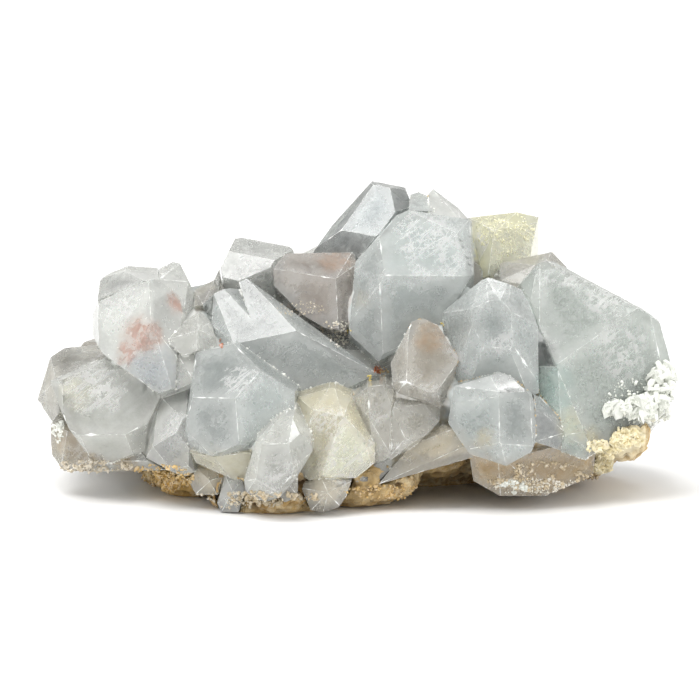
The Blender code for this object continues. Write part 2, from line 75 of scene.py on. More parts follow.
# The soft lights: the direction of each from the cluster, its width and height, and its radiance.
LIGHT_DISTANCE = 2.4
SOFTBOXES = {
    "top_softbox": ((-0.263, -0.284, 0.931), (1.5, 1.5), 5.8),
    "right_softbox": ((0.88, -0.25, 0.35), (1.2, 1.2), 3.0),
    "back_softbox": ((0.322, 0.411, 0.853), (0.5, 0.5), 6.5),
    "left_softbox": ((-0.8, 0.3, 0.5), (1.0, 1.6), 1.8),
}
SKY_COLOUR = (1, 0.99, 0.97, 1)
SKY_STRENGTH = 0.80
FLOOR_SIZE = 24
FLOOR_COLOUR = (0.93, 0.93, 0.93, 1)
FLOOR_ROUGHNESS = 0.9
CLIP_NEAR = 0.1
CLIP_FAR = 50

# The seeds of the random draws.
TINT_SEED = 7
DRUSE_SEED = 23
SEAM_SEED = 31

# The tints of the crystals, and pixels of the photograph that each tint's crystals cover.
KINDS = {
    "pale": (
        (0.775, 0.78, 0.735),
        [(100, 400), (185, 335), (365, 290), (285, 450), (275, 395)],
    ),
    "clear": (
        (0.60, 0.645, 0.635),
        [(215, 385), (490, 310), (300, 355), (410, 280), (492, 410)],
    ),
    "glass": ((0.84, 0.84, 0.80), [(172, 430)]),
    "haze": ((0.735, 0.785, 0.745), [(590, 300), (600, 360)]),
    # dark: clear crystals painted dark grey for the dark surroundings they show, a painted reflection.
    "dark": ((0.30, 0.335, 0.34), [(360, 240), (548, 425)]),
    "taupe": (
        (0.60, 0.57, 0.49),
        [(62, 368), (243, 247), (205, 290), (375, 410), (410, 425), (515, 268)],
    ),
    "smoky": ((0.52, 0.48, 0.41), [(430, 360), (435, 212)]),
    "rosy": ((0.60, 0.54, 0.49), [(325, 290), (325, 265)]),
    "honey": ((0.86, 0.80, 0.58), [(335, 430), (345, 465), (600, 455), (240, 458)]),
    "yellow": ((0.97, 0.95, 0.68), [(505, 232)]),
    "beige": ((0.66, 0.58, 0.42), [(80, 450), (450, 450), (325, 492), (200, 480)]),
    "brown": ((0.66, 0.48, 0.23), [(530, 470), (560, 478)]),
    "aqua": ((0.62, 0.72, 0.67), [(560, 385)]),
    "white": ((0.88, 0.89, 0.86), [(150, 330), (172, 285), (130, 275), (240, 268), (450, 205)]),
}
# The kinds that crystals out of the photograph's sight are drawn from.
OUT_OF_SIGHT = ["pale", "clear", "clear", "taupe", "pale", "white", "smoky"]

# How much the faces of one crystal differ in shade, and the lightest that one may be.
DARKER_FACE = 0.84
LIGHTER_FACE = 1.16
LIGHTEST = 0.97
# Painted light and shade on single faces: painted highlights and reflections where a face is made
# lighter, painted shade where it is made darker than the rest of its crystal.
PAINTED_LIGHT_AND_SHADE = [
    (270, 395, 1.4),
    (215, 390, 0.9),
    (240, 365, 0.93),
    (505, 235, 1.3),
    (490, 235, 1.3),
    (255, 315, 0.78),
    (350, 465, 1.35),
    (335, 430, 0.76),
    (150, 300, 0.88),
    (130, 275, 0.62),
    (62, 368, 0.52),
    (370, 215, 1.5),
    (360, 240, 0.6),
    (398, 200, 0.55),
    (332, 235, 0.75),
    (507, 380, 2.2),
    (325, 262, 0.85),
    (320, 300, 1.2),
    (425, 235, 1.1),
    (285, 290, 0.95),
    (255, 247, 0.7),
    (172, 425, 1.2),
    (185, 335, 1.15),
    (185, 455, 0.8),
    (548, 425, 0.75),
    (450, 205, 0.77),
    (245, 268, 0.88),
    (285, 460, 0.92),
    (490, 310, 0.84),
    (490, 350, 0.86),
    (600, 360, 0.97),
    (640, 340, 1.05),
    (560, 385, 1.1),
    (543, 345, 1.7),
]


def across(u, v):
    """Where a pixel of the photograph lies beside the middle of the view, in metres."""
    return (u - PHOTO_SIDE / 2) / PIXELS_PER_METRE, (PHOTO_SIDE / 2 - v) / PIXELS_PER_METRE


VIEW_TURN = Matrix.Rotation(math.pi / 2 - LEAN, 3, "X")
EYE = AIM + VIEW_TURN @ Vector((0, 0, DISTANCE))


def sight(u, v):
    """The direction from the camera through a pixel of the photograph."""
    right, up = across(u, v)
    return (VIEW_TURN @ Vector((right, up, -DISTANCE))).normalized()


def make_camera():
    """A camera that sees the cluster as the photograph does."""
    data = bpy.data.cameras.new("camera")
    data.sensor_width = SENSOR
    data.lens = SENSOR * DISTANCE * PIXELS_PER_METRE / PHOTO_SIDE
    data.clip_start, data.clip_end = CLIP_NEAR, CLIP_FAR
    camera = bpy.data.objects.new("camera", data)
    camera.matrix_world = Matrix.Translation(EYE) @ VIEW_TURN.to_4x4()
    bpy.context.scene.collection.objects.link(camera)
    bpy.context.scene.camera = camera


def softbox(name, toward, size, radiance):
    """A rectangular soft light that faces the cluster from that direction."""
    data = bpy.data.lights.new(name, "AREA")
    data.shape = "RECTANGLE"
    data.size, data.size_y = size
    data.energy = radiance * math.pi * size[0] * size[1]
    light = bpy.data.objects.new(name, data)
    toward = Vector(toward).normalized()
    turn = toward.to_track_quat("Z", "Y").to_matrix().to_4x4()
    light.matrix_world = Matrix.Translation(AIM + toward * LIGHT_DISTANCE) @ turn
    light.visible_camera = False
    bpy.context.scene.collection.objects.link(light)


def make_studio():
    """A white floor under a pale sky, and the soft lights."""
    bpy.ops.mesh.primitive_plane_add(size=FLOOR_SIZE)
    floor = bpy.context.object
    floor.name = "floor"
    paint = bpy.data.materials.new("floor_paint")
    paint.use_nodes = True
    shader = paint.node_tree.nodes["Principled BSDF"]
    shader.inputs["Base Color"].default_value = FLOOR_COLOUR
    shader.inputs["Roughness"].default_value = FLOOR_ROUGHNESS
    floor.data.materials.append(paint)
    world = bpy.data.worlds.new("studio")
    world.use_nodes = True
    sky = world.node_tree.nodes["Background"]
    sky.inputs["Color"].default_value = SKY_COLOUR
    sky.inputs["Strength"].default_value = SKY_STRENGTH
    bpy.context.scene.world = world
    for name, (toward, size, radiance) in SOFTBOXES.items():
        softbox(name, toward, size, radiance)
    bpy.context.scene.view_settings.view_transform = "Standard"


def facets_of(node):
    """A copy of a node's mesh with each flat face whole, and with room for what is noted on its faces."""
    mesh = bmesh.new()
    mesh.from_mesh(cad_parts[node].data)
    bmesh.ops.remove_doubles(mesh, verts=mesh.verts, dist=WELD)
    bmesh.ops.dissolve_limit(mesh, angle_limit=FLAT, verts=mesh.verts, edges=mesh.edges)
    mesh.faces.layers.int.new("crystal")
    mesh.faces.layers.float_vector.new("tint")
    mesh.faces.layers.float.new("gloss")
    mesh.faces.layers.float.new("wear_and_highlight")
    for name in ("inner", "frosted", "stained", "stain_strength"):
        mesh.verts.layers.float.new(name)
    mesh.verts.layers.float_vector.new("stain")
    mesh.normal_update()
    mesh.faces.index_update()
    mesh.faces.ensure_lookup_table()
    return mesh


def label_crystals(mesh):
    """Numbers the crystals: faces that meet at an outward edge belong to one crystal."""
    label = mesh.faces.layers.int["crystal"]
    left = set(mesh.faces)
    crystals = []
    for start in mesh.faces:
        if start not in left:
            continue
        left.remove(start)
        faces, front = [], [start]
        while front:
            face = front.pop()
            faces.append(face)
            face[label] = len(crystals)
            for edge in face.edges:
                if len(edge.link_faces) == 2 and edge.calc_face_angle_signed(0) > -FLAT:
                    for other in edge.link_faces:
                        if other in left:
                            left.remove(other)
                            front.append(other)
        crystals.append(faces)
    return crystals


def face_under(mesh, tree, u, v):
    """The face that a pixel of the photograph shows."""
    _, _, index, _ = tree.ray_cast(EYE, sight(u, v))
    if index is None:
        print("no face under pixel", u, v)
        return None
    return mesh.faces[index]


def point_under(tree, u, v):
    """The point that a pixel of the photograph shows, or one far below where it shows none."""
    point, _, _, _ = tree.ray_cast(EYE, sight(u, v))
    if point is None:
        print("no point under pixel", u, v)
        return (0, 0, -1)
    return point


def tint_crystals(mesh, crystals, tree):
    """Gives each crystal the tint of its kind, each of its faces a slightly different shade at random,
    and the listed faces their painted light and shade.
    """
    dice = random.Random(TINT_SEED)
    label = mesh.faces.layers.int["crystal"]
    tint = mesh.faces.layers.float_vector["tint"]
    gloss = mesh.faces.layers.float["gloss"]
    kinds = [dice.choice(OUT_OF_SIGHT) for _ in crystals]
    for kind, (_, pixels) in KINDS.items():
        for u, v in pixels:
            face = face_under(mesh, tree, u, v)
            if face:
                kinds[face[label]] = kind
    for number, faces in enumerate(crystals):
        base = Vector(KINDS[kinds[number]][0])
        for face in faces:
            face[tint] = base * dice.uniform(DARKER_FACE, LIGHTER_FACE)
            face[gloss] = dice.random()
    # Painted highlights, reflections and shade on the listed faces.
    for u, v, shade in PAINTED_LIGHT_AND_SHADE:
        face = face_under(mesh, tree, u, v)
        if face:
            face[tint] = Vector([min(LIGHTEST, c * shade) for c in face[tint]])
    return kinds


# The milky inside: the cells of its mesh, and the steps by which it is drawn inwards.
CLOUD_CELL = 0.9 * MM
CLOUD_STEPS = 2
CLOUD_STEP = 0.75 * MM
CLOUD_SMOOTHING = 0.5
CLOUD_ROUNDS = 2
# Its hollows: how deep and how fine they are, how their noise falls off, and how much of it counts.
CLOUD_WOBBLE = 2.4 * MM
CLOUD_SCALE = 190
CLOUD_FRACTAL = (0.9, 2.1, 3)
CLOUD_SHIFT = 0.15
# Crystals of these kinds have no milky inside.
CLEAR_KINDS = {"glass"}


def shrunken(node):
    """A node's mesh, drawn inwards in small steps, and evenly meshed."""
    helper = bpy.data.objects.new("helper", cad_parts[node].data.copy())
    bpy.context.scene.collection.objects.link(helper)
    for step in range(CLOUD_STEPS + 1):
        remesh = helper.modifiers.new("remesh", "REMESH")
        remesh.mode = "VOXEL"
        remesh.voxel_size = CLOUD_CELL
        if step < CLOUD_STEPS:
            inward = helper.modifiers.new("inward", "DISPLACE")
            inward.strength = -CLOUD_STEP
            inward.mid_level = 0
    soften = helper.modifiers.new("soften", "SMOOTH")
    soften.factor = CLOUD_SMOOTHING
    soften.iterations = CLOUD_ROUNDS
    graph = bpy.context.evaluated_depsgraph_get()
    mesh = bmesh.new()
    mesh.from_mesh(helper.evaluated_get(graph).to_mesh())
    bpy.data.objects.remove(helper)
    return mesh


def make_clouds(outer, tree, kinds):
    """The milky inside of the crystals, a little below their faces."""
    mesh = shrunken("crystals")
    outer_tint = outer.faces.layers.float_vector["tint"]
    label = outer.faces.layers.int["crystal"]
    tint = mesh.verts.layers.float_vector.new("tint")
    mesh.normal_update()
    clear = []
    for vert in mesh.verts:
        # The tint of the nearest face, with its painted light and shade.
        _, _, index, _ = tree.find_nearest(vert.co)
        vert[tint] = outer.faces[index][outer_tint]
        if kinds[outer.faces[index][label]] in CLEAR_KINDS:
            clear.append(vert)
        wobble = noise.fractal(vert.co * CLOUD_SCALE, *CLOUD_FRACTAL)
        vert.co -= vert.normal * CLOUD_WOBBLE * max(0, wobble + CLOUD_SHIFT)
    bmesh.ops.delete(mesh, geom=clear, context="VERTS")
    bmesh.ops.holes_fill(mesh, edges=[edge for edge in mesh.edges if edge.is_boundary], sides=0)
    for face in mesh.faces:
        face.smooth = True
    return add_piece("inner_clouds", mesh, [cloud_material()])


# The worn edges, also painted with a highlight: which edges are worn, how wide they are, and how far
# apart their points are.
SHARP = math.radians(9)
WEAR_WIDTH = 0.16 * MM
EDGE_STEP = 0.8 * MM
SHORT_EDGE = 0.5 * MM
MOST_CUTS = 60
# Where they are worn white and painted with a highlight: how long those stretches are and how many, and
# how white the others are.
WEAR_AND_HIGHLIGHT_SCALE = 330
WEAR_AND_HIGHLIGHT_SHARE = 0.8
FAINT_WEAR_AND_HIGHLIGHT = 0.35
# The ragged borders of the strips: their fine unevenness, and their chips.
RAGGED_SCALE = 1400
RAGGED_SHARE = 0.8
RAGGED_GAIN = 0.9
CHIP = 0.28 * MM
CHIP_SCALE = 480
CHIP_PLACE = Vector((3, 1, 4))
CHIP_START = 0.38
CHIP_GAIN = 3
SMALLEST_FACE = 4 * MM * MM


def is_sharp(edge):
    return abs(edge.calc_face_angle_signed(0)) > SHARP


def wear_edges(mesh):
    """Turns each sharp edge, outward or inward, into a narrow and uneven strip, worn and painted with a
    highlight.
    """
    sharp = [edge for edge in mesh.edges if is_sharp(edge) and edge.calc_length() > SHORT_EDGE]
    by_cuts = {}
    for edge in sharp:
        cuts = min(MOST_CUTS, int(edge.calc_length() / EDGE_STEP))
        by_cuts.setdefault(cuts, []).append(edge)
    for cuts, edges in sorted(by_cuts.items()):
        if cuts:
            bmesh.ops.bisect_edges(mesh, edges=edges, cuts=cuts)
    sharp = [edge for edge in mesh.edges if is_sharp(edge)]
    result = bmesh.ops.bevel(
        mesh,
        geom=sharp,
        offset=WEAR_WIDTH,
        offset_type="OFFSET",
        segments=1,
        affect="EDGES",
        clamp_overlap=True,
        material=-1,
    )
    wear_and_highlight = mesh.faces.layers.float["wear_and_highlight"]
    strips = set(result["faces"])
    for face in strips:
        face[wear_and_highlight] = 1.0
    shift_strips(mesh, strips)
    for face in strips:
        if noise.noise(face.calc_center_median() * WEAR_AND_HIGHLIGHT_SCALE) + 0.5 < 1 - WEAR_AND_HIGHLIGHT_SHARE:
            face[wear_and_highlight] = FAINT_WEAR_AND_HIGHLIGHT
        else:
            face.material_index = 1


def shift_strips(mesh, strips):
    """Moves the borders of the strips unevenly within the faces beside them."""
    mesh.normal_update()
    moves = {}
    for strip in strips:
        for edge in strip.edges:
            beside = [face for face in edge.link_faces if face not in strips]
            if not beside:
                continue
            along = edge.verts[1].co - edge.verts[0].co
            inward = beside[0].normal.cross(along)
            if inward.dot(edge.verts[0].co - strip.calc_center_median()) < 0:
                inward.negate()
            if inward.length == 0 or beside[0].calc_area() < SMALLEST_FACE:
                continue
            inward.normalize()
            for vert in edge.verts:
                moves.setdefault(vert, []).append(inward)
    for vert, ways in moves.items():
        small = noise.noise(vert.co * RAGGED_SCALE) * RAGGED_GAIN
        chip = max(0, noise.noise(vert.co * CHIP_SCALE + CHIP_PLACE) - CHIP_START) * CHIP_GAIN
        way = sum(ways, Vector()) / len(ways)
        vert.co += way * (small * WEAR_WIDTH * RAGGED_SHARE + chip * CHIP)


# The fine mesh of the faces: its longest edge, and how many times it may be halved.
LONG_EDGE = 2.4 * MM
REFINE_ROUNDS = 4
# How far the painted glow along the edges reaches, and how far apart the points are that it is measured
# from.
RIM_DEPTH = 3.6 * MM
RIM_STEP = 0.6 * MM


def edge_places(mesh):
    """Points along every sharp edge of the crystals, outward or inward."""
    points = []
    for edge in mesh.edges:
        if is_sharp(edge):
            start, end = (vert.co for vert in edge.verts)
            steps = 1 + int(edge.calc_length() / RIM_STEP)
            points.extend(start.lerp(end, step / steps) for step in range(steps + 1))
    places = KDTree(len(points))
    for index, point in enumerate(points):
        places.insert(point, index)
    places.balance()
    return places


def refine_facets(mesh, places):
    """Meshes the flat faces finely enough to note how far each point is from an edge."""
    bmesh.ops.triangulate(mesh, faces=mesh.faces)
    for _ in range(REFINE_ROUNDS):
        long_edges = [edge for edge in mesh.edges if edge.calc_length() > LONG_EDGE]
        if not long_edges:
            break
        bmesh.ops.subdivide_edges(mesh, edges=long_edges, cuts=1)
        bmesh.ops.triangulate(mesh, faces=[face for face in mesh.faces if len(face.verts) > 3])
    inner = mesh.verts.layers.float["inner"]
    for vert in mesh.verts:
        vert[inner] = min(1.0, places.find(vert.co)[2] / RIM_DEPTH)


def add_piece(name, mesh, materials, node=None):
    """Makes a piece on the body, in place of a node of the solids where one is named."""
    data = bpy.data.meshes.new(name)
    mesh.to_mesh(data)
    mesh.free()
    for material in materials:
        data.materials.append(material)
    piece = bpy.data.objects.new(name, data)
    bpy.context.scene.collection.objects.link(piece)
    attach(piece, "root")
    if node:
        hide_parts(node)
    return piece


# A Mix node has sockets of the same name for numbers and colours, so those for colours go by number.
MIX_SHARE = 0
MIX_FIRST = 6
MIX_SECOND = 7
MIX_RESULT = 2
# The ragged borders of stains and frosted places.
WAVER = (220, 5, 0.65)
PATCH_CORE = 0.35


class Shader:
    """A Principled material whose inputs are fed by a few chained nodes."""

    def __init__(self, name):
        self.material = bpy.data.materials.new(name)
        self.material.use_nodes = True
        self.tree = self.material.node_tree
        self.principled = self.tree.nodes["Principled BSDF"]
        self.place = self.add("ShaderNodeTexCoord").outputs["Object"]
        self.waver = None

    def add(self, kind, **settings):
        node = self.tree.nodes.new(kind)
        for key, value in settings.items():
            setattr(node, key, value)
        return node

    def feed(self, socket, value):
        if isinstance(value, bpy.types.NodeSocket):
            self.tree.links.new(value, socket)
        elif socket.type == "RGBA":
            socket.default_value = (*value[:3], 1)
        else:
            socket.default_value = value

    def attribute(self, name, output="Fac"):
        return self.add("ShaderNodeAttribute", attribute_name=name).outputs[output]

    def noise(self, scale, detail=4, roughness=0.6, distortion=0.0, place=None):
        """Noise from 0 to 1, of that many cells to a metre."""
        node = self.add("ShaderNodeTexNoise")
        self.feed(node.inputs["Vector"], place or self.place)
        self.feed(node.inputs["Scale"], scale)
        self.feed(node.inputs["Detail"], detail)
        self.feed(node.inputs["Roughness"], roughness)
        self.feed(node.inputs["Distortion"], distortion)
        return node.outputs["Fac"]

    def math(self, operation, *values):
        node = self.add("ShaderNodeMath", operation=operation)
        for socket, value in zip(node.inputs, values):
            self.feed(socket, value)
        return node.outputs[0]

    def span(self, value, low, high, to_low=0.0, to_high=1.0):
        """A smooth step from to_low, where the value is low, to to_high, where it is high."""
        node = self.add("ShaderNodeMapRange", interpolation_type="SMOOTHSTEP")
        for socket, item in zip(node.inputs, (value, low, high, to_low, to_high)):
            self.feed(socket, item)
        return node.outputs[0]

    def mix(self, share, first, second, blend="MIX"):
        node = self.add("ShaderNodeMix", data_type="RGBA", blend_type=blend)
        self.feed(node.inputs[MIX_SHARE], share)
        self.feed(node.inputs[MIX_FIRST], first)
        self.feed(node.inputs[MIX_SECOND], second)
        return node.outputs[MIX_RESULT]

    def stretched(self, turn, scale):
        """The place turned and scaled along each axis, for noise that runs in streaks."""
        node = self.add("ShaderNodeMapping", vector_type="TEXTURE")
        self.feed(node.inputs["Vector"], self.place)
        node.inputs["Rotation"].default_value = turn
        node.inputs["Scale"].default_value = [1 / each for each in scale]
        return node.outputs[0]

    def patch(self, near, ragged=0.6):
        """A soft ragged patch: 1 where near is 0, and 0 where it is 1 or more."""
        self.waver = self.waver or self.noise(*WAVER)
        reach = self.math("MULTIPLY_ADD", self.waver, 2 * ragged, near)
        return self.span(reach, 1 + ragged, PATCH_CORE + ragged)

    def spot(self, point, radius):
        """A patch round a point, out to that radius."""
        node = self.add("ShaderNodeVectorMath", operation="DISTANCE")
        self.feed(node.inputs[0], self.place)
        node.inputs[1].default_value = point
        return self.patch(self.math("DIVIDE", node.outputs["Value"], radius))

    def bump(self, height, distance, strength=1.0):
        node = self.add("ShaderNodeBump")
        self.feed(node.inputs["Height"], height)
        node.inputs["Distance"].default_value = distance
        node.inputs["Strength"].default_value = strength
        self.feed(self.principled.inputs["Normal"], node.outputs[0])

    def set(self, **inputs):
        """Sets inputs of the Principled node, named with _ for each space."""
        for name, value in inputs.items():
            self.feed(self.principled.inputs[name.replace("_", " ")], value)
        return self.material


# Stains on the crystals, and a painted glow on the yellow one: pixel of the photograph, radius in
# millimetres, colour and strength.
STAINS_AND_GLOW = [
    (76, 392, 5.0, (0.90, 0.87, 0.66), 0.6),
    (640, 440, 6.0, (0.90, 0.84, 0.62), 0.6),
    (590, 440, 4.0, (0.88, 0.78, 0.50), 0.7),
    (140, 336, 6.0, (0.58, 0.27, 0.19), 0.75),
    (178, 303, 3.4, (0.62, 0.27, 0.18), 0.8),
    (127, 352, 3.5, (0.55, 0.22, 0.14), 0.7),
    (152, 370, 7.0, (0.52, 0.57, 0.64), 0.6),
    (90, 466, 5.0, (0.55, 0.38, 0.18), 0.8),
    (125, 468, 4.0, (0.62, 0.42, 0.18), 0.8),
    (60, 440, 3.0, (0.50, 0.34, 0.20), 0.6),
    (74, 446, 5.5, (0.42, 0.34, 0.24), 0.85),
    # The yellow crystal's own colour, made lighter as a painted glow of light passing through it.
    (505, 228, 10.0, (1.00, 0.98, 0.76), 1.0),
    (500, 470, 5.5, (0.55, 0.38, 0.17), 0.75),
    (545, 480, 6.5, (0.62, 0.46, 0.26), 0.75),
    (582, 468, 4.5, (0.58, 0.42, 0.20), 0.8),
    (470, 462, 4.0, (0.60, 0.42, 0.18), 0.7),
    (300, 480, 3.0, (0.66, 0.48, 0.26), 0.5),
    (333, 258, 4.5, (0.66, 0.42, 0.28), 0.6),
    (432, 338, 4.5, (0.66, 0.44, 0.26), 0.6),
    (575, 425, 5.0, (0.92, 0.86, 0.62), 0.6),
    (555, 385, 6.0, (0.52, 0.68, 0.64), 0.6),
    (485, 438, 3.0, (0.80, 0.62, 0.30), 0.5),
    (360, 300, 3.0, (0.74, 0.66, 0.50), 0.4),
]
# Frosted places on the crystals: pixel of the photograph and radius in millimetres.
FROSTS = [
    (172, 428, 5.0),
    (425, 232, 9.0),
    (452, 262, 5.0),
    (500, 345, 4.0),
    (495, 290, 4.0),
    (240, 380, 5.0),
    (95, 385, 8.0),
    (605, 300, 6.0),
    (620, 350, 7.0),
    (330, 420, 5.0),
    (345, 465, 7.0),
    (120, 300, 7.0),
    (285, 480, 6.0),
]
# Stains on the rock, given like those on the crystals.
ROCK_STAINS = [
    (76, 392, 5.0, (0.90, 0.87, 0.66), 0.6),
    (640, 440, 6.0, (0.90, 0.84, 0.62), 0.6),
    (590, 440, 4.0, (0.88, 0.78, 0.50), 0.7),
    (615, 448, 8.0, (0.90, 0.82, 0.60), 0.8),
    (440, 478, 9.0, (0.48, 0.33, 0.14), 0.8),
    (170, 480, 9.0, (0.88, 0.58, 0.18), 0.95),
    (360, 490, 8.0, (0.42, 0.29, 0.13), 0.6),
    (600, 460, 8.0, (0.97, 0.91, 0.72), 0.95),
]


def note_patches(mesh, tree):
    """Notes how near each point is to a frosted place and to a stain, the painted glow among them, in
    radii, and the nearest stain's colour and strength.
    """
    frosted = mesh.verts.layers.float["frosted"]
    stained = mesh.verts.layers.float["stained"]
    stain_strength = mesh.verts.layers.float["stain_strength"]
    stain_colour = mesh.verts.layers.float_vector["stain"]
    frosts = [(Vector(point_under(tree, u, v)), radius * MM) for u, v, radius in FROSTS]
    stains = [
        (Vector(point_under(tree, u, v)), radius * MM, colour, strength)
        for u, v, radius, colour, strength in STAINS_AND_GLOW
    ]
    for vert in mesh.verts:
        vert[frosted] = min((vert.co - place).length / radius for place, radius in frosts)
        near, colour, strength = min(
            ((vert.co - place).length / radius, colour, strength)
            for place, radius, colour, strength in stains
        )
        vert[stained] = near
        vert[stain_colour] = colour
        vert[stain_strength] = strength


# The celestite: how it bends and lets through light, and what a metre of it takes away.
CELESTITE_IOR = 1.62
CELESTITE_TRANSMISSION = 0.68
ABSORPTION_COLOUR = (0.80, 0.855, 0.82, 1)
ABSORPTION_DENSITY = 25
# The whites of its painted rim glow, clouds, veils, streaks, frost, and its worn edges with their painted
# highlight.
RIM_GLOW_WHITE = (0.97, 0.97, 0.95)
CLOUD_WHITE = (0.90, 0.92, 0.90)
VEIL_WHITE = (0.95, 0.96, 0.95)
FROST_WHITE = (0.98, 0.98, 0.97)
WEAR_AND_HIGHLIGHT_WHITE = (0.97, 0.98, 0.97)
# What the tint is multiplied by in the middle of a face, a painted shade, and along its rim, a painted
# glow.
PAINTED_CENTRE_SHADE = (0.88, 0.885, 0.885)
PAINTED_RIM_GLOW = (1.1, 1.1, 1.1)
# The patterns of its faces: cells to a metre, detail, roughness and distortion.
CLOUDS = (95, 3, 0.62, 0.6)
VEILS = (260, 4, 0.7, 1.8)
MOTTLE = (1700, 3, 0.8)
STAIN_BREAK = (520, 3, 0.72)
FROST_FIELDS = (75, 2)
FLECKS = (620, 4, 0.78, 0.4)
STREAKS = (1.0, 4, 0.7, 0.2)
SPECKLE = (800, 3, 0.75)
SCRATCHES = (1.0, 3, 0.6, 0.0)
# How the streaks and scratches lie: their turn, and cells to a metre along each axis.
STREAK_LIE = ((0.2, -0.62, 0.3), (90, 1100, 1100))
SCRATCH_LIE = ((0.5, 0.9, 0.3), (120, 2600, 2600))
FACE_RELIEF = 0.035 * MM


def celestite_material():
    """See-through crystal with milky clouds and veils, stains, frosted places and streaks, a painted glow
    along its edges and painted shade in the middle of its faces.
    """
    paint = Shader("celestite")
    tint = paint.attribute("tint", "Color")
    wear_and_highlight = paint.attribute("wear_and_highlight")
    inner = paint.attribute("inner")
    gloss = paint.attribute("gloss")
    # Painted light: a pale glow along every edge, fading to painted shade in the middle of each face.
    centre_shade = paint.mix(1.0, tint, PAINTED_CENTRE_SHADE, "MULTIPLY")
    rim_glow = paint.mix(0.5, paint.mix(1.0, tint, PAINTED_RIM_GLOW, "MULTIPLY"), RIM_GLOW_WHITE)
    colour = paint.mix(paint.span(inner, 0.0, 1.0, 0.8, 0.0), centre_shade, rim_glow)
    clouds = paint.span(paint.noise(*CLOUDS), 0.38, 0.72)
    veils = paint.span(paint.noise(*VEILS), 0.50, 0.72)
    colour = paint.mix(paint.math("MULTIPLY", clouds, 0.30), colour, CLOUD_WHITE)
    colour = paint.mix(paint.math("MULTIPLY", veils, 0.35), colour, VEIL_WHITE)
    mottle = paint.span(paint.noise(*MOTTLE), 0.38, 0.64, 0.92, 1.06)
    colour = paint.mix(1.0, colour, mottle, "MULTIPLY")
    # Stains, with the painted glow on the yellow crystal among them.
    stain_break = paint.span(paint.noise(*STAIN_BREAK), 0.36, 0.58, 0.35, 1.0)
    stained = paint.math("MULTIPLY", paint.patch(paint.attribute("stained")), stain_break)
    stained = paint.math("MULTIPLY", stained, paint.attribute("stain_strength"))
    colour = paint.mix(stained, colour, paint.attribute("stain", "Color"))
    frost = paint.span(paint.noise(*FROST_FIELDS), 0.56, 0.72)
    frost = paint.math("MAXIMUM", frost, paint.patch(paint.attribute("frosted")))
    flecks = paint.span(paint.noise(*FLECKS), 0.50, 0.58)
    streaks = paint.span(paint.noise(*STREAKS, paint.stretched(*STREAK_LIE)), 0.50, 0.62)
    frost = paint.math("MULTIPLY", frost, paint.math("MAXIMUM", flecks, streaks))
    streaked = paint.math("MULTIPLY", paint.math("MULTIPLY", streaks, clouds), 0.4)
    colour = paint.mix(streaked, colour, VEIL_WHITE)
    colour = paint.mix(frost, colour, FROST_WHITE)
    # Edges white from wear and from a painted highlight.
    colour = paint.mix(wear_and_highlight, colour, WEAR_AND_HIGHLIGHT_WHITE)
    speckle = paint.noise(*SPECKLE)
    rough = paint.span(speckle, 0.35, 0.7, 0.06, 0.24)
    rough = paint.math("MULTIPLY_ADD", gloss, 0.10, rough)
    rough = paint.math("MULTIPLY_ADD", frost, 0.4, rough)
    scratch = paint.noise(*SCRATCHES, paint.stretched(*SCRATCH_LIE))
    height = paint.math("MULTIPLY_ADD", scratch, 0.5, paint.math("MULTIPLY", speckle, 0.5))
    height = paint.math("MULTIPLY_ADD", frost, 0.6, height)
    paint.bump(height, FACE_RELIEF, 0.8)
    absorb = paint.add("ShaderNodeVolumeAbsorption")
    absorb.inputs["Color"].default_value = ABSORPTION_COLOUR
    absorb.inputs["Density"].default_value = ABSORPTION_DENSITY
    paint.tree.links.new(absorb.outputs[0], paint.tree.nodes["Material Output"].inputs["Volume"])
    return paint.set(
        Base_Color=colour,
        Roughness=rough,
        IOR=CELESTITE_IOR,
        Transmission_Weight=CELESTITE_TRANSMISSION,
    )


def wear_and_highlight_material():
    """The white of the worn edges: partly wear, partly a painted highlight."""
    paint = Shader("worn_and_highlit_edge")
    fine = paint.span(paint.noise(900, 5, 0.7), 0.35, 0.65)
    colour = paint.mix(fine, (0.84, 0.86, 0.84), (0.98, 0.98, 0.97))
    return paint.set(Base_Color=colour, Roughness=0.35)


def cloud_material():
    """The milky inside: the crystal's tint with its painted light and shade, whiter wisps, and no gloss.
    """
    paint = Shader("inner_cloud")
    tint = paint.attribute("tint", "Color")
    wisps = paint.span(paint.noise(170, 5, 0.65, 1.6), 0.42, 0.66)
    wisps = paint.math("MULTIPLY_ADD", wisps, 0.55, 0.2)
    colour = paint.mix(wisps, tint, (0.96, 0.97, 0.96))
    return paint.set(
        Base_Color=colour,
        Roughness=0.9,
        Specular_IOR_Level=0.0,
    )


# The browns of the rock: its darker and lighter ground, its pale grains, and the painted shade of its
# pits.
ROCK_DARK = (0.42, 0.25, 0.08)
ROCK_LIGHT = (0.72, 0.52, 0.24)
ROCK_GRAIN = (0.88, 0.76, 0.52)
ROCK_PIT_SHADE = (0.10, 0.055, 0.02)
ROCK_RELIEF = 0.4 * MM


